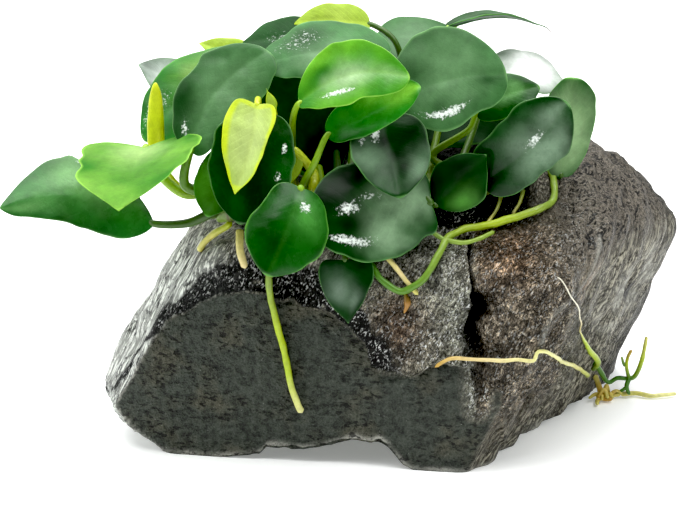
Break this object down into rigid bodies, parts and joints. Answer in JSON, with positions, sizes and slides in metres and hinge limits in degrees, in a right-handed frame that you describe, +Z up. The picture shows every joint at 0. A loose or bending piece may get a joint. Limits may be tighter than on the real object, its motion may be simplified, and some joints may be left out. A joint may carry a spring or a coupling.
{
  "type": "petite anubias nana on driftwood",
  "caption": "Clump of small round-leaved aquarium plant grown onto a block of driftwood, its leaves over the top edge and its roots running down the wood.",
  "frame": {"origin": "on the wood's flat underside, in the plane that it stands on, behind the arch under its front edge", "axes": "+X to the right of the plant's front, along the wood's length; +Y to the back; +Z up"},
  "size_m": [0.1333, 0.0743, 0.0854],
  "materials": {
    "driftwood": "wet dark driftwood: smooth sawn front, rough fibrous sides",
    "rhizome": "living green stem, semi-gloss",
    "leaf_dark": "living leaf, very dark green, wet gloss",
    "leaf_grey": "living leaf, grey-green, wet gloss",
    "leaf_mid": "living leaf, mid green, wet gloss",
    "leaf_light": "living leaf, light green, wet gloss",
    "leaf_young": "young leaf, yellow-green, wet gloss",
    "root": "living root, yellow-green to pale yellow, wet"
  },
  "bodies": {
    "root": {"driftwood": "driftwood", "rhizome": "rhizome", "leaf_far_left": "leaf_dark", "leaf_light_left": "leaf_light", "leaf_left_inner": "leaf_grey", "leaf_left_outer": "leaf_mid", "leaf_left_grey": "leaf_grey", "leaf_left_yellow_tip": "leaf_young", "leaf_rolled_yellow": "leaf_young", "leaf_young_yellow": "leaf_young", "leaf_dark_mid": "leaf_dark", "leaf_left_mid": "leaf_mid", "leaf_front_round": "leaf_mid", "leaf_young_narrow": "leaf_young", "leaf_bright_centre": "leaf_light", "leaf_bright_under": "leaf_mid", "leaf_inner_dark": "leaf_dark", "bud_centre": "leaf_young", "leaf_top_speckled": "leaf_grey", "leaf_top_dark": "leaf_dark", "leaf_top_yellow": "leaf_young", "leaf_top_back": "leaf_grey", "leaf_top_right_thin": "leaf_mid", "leaf_big_right": "leaf_grey", "leaf_right_mid": "leaf_mid", "leaf_right_pale": "leaf_grey", "leaf_right_dark": "leaf_dark", "leaf_right_back": "leaf_mid", "leaf_centre_fold": "leaf_grey", "leaf_front_big": "leaf_dark", "leaf_small_dark": "leaf_dark", "leaf_hanging_dark": "leaf_dark", "leaf_back_left": "leaf_mid", "leaf_back_low": "leaf_dark", "leaf_back_centre": "leaf_mid", "leaf_back_high": "leaf_light", "leaf_back_right": "leaf_mid", "leaf_back_far_right": "leaf_dark", "leaf_back_upright": "leaf_grey", "root_front_hanging": "root", "root_short_centre": "root", "root_short_left": "root", "root_loop": "root", "root_curl": "root", "root_pale": "root", "root_thin_left": "root", "root_thin_right": "root", "root_cross": "root", "root_fine": "root", "root_tuft": "root"}
  },
  "joints": []
}
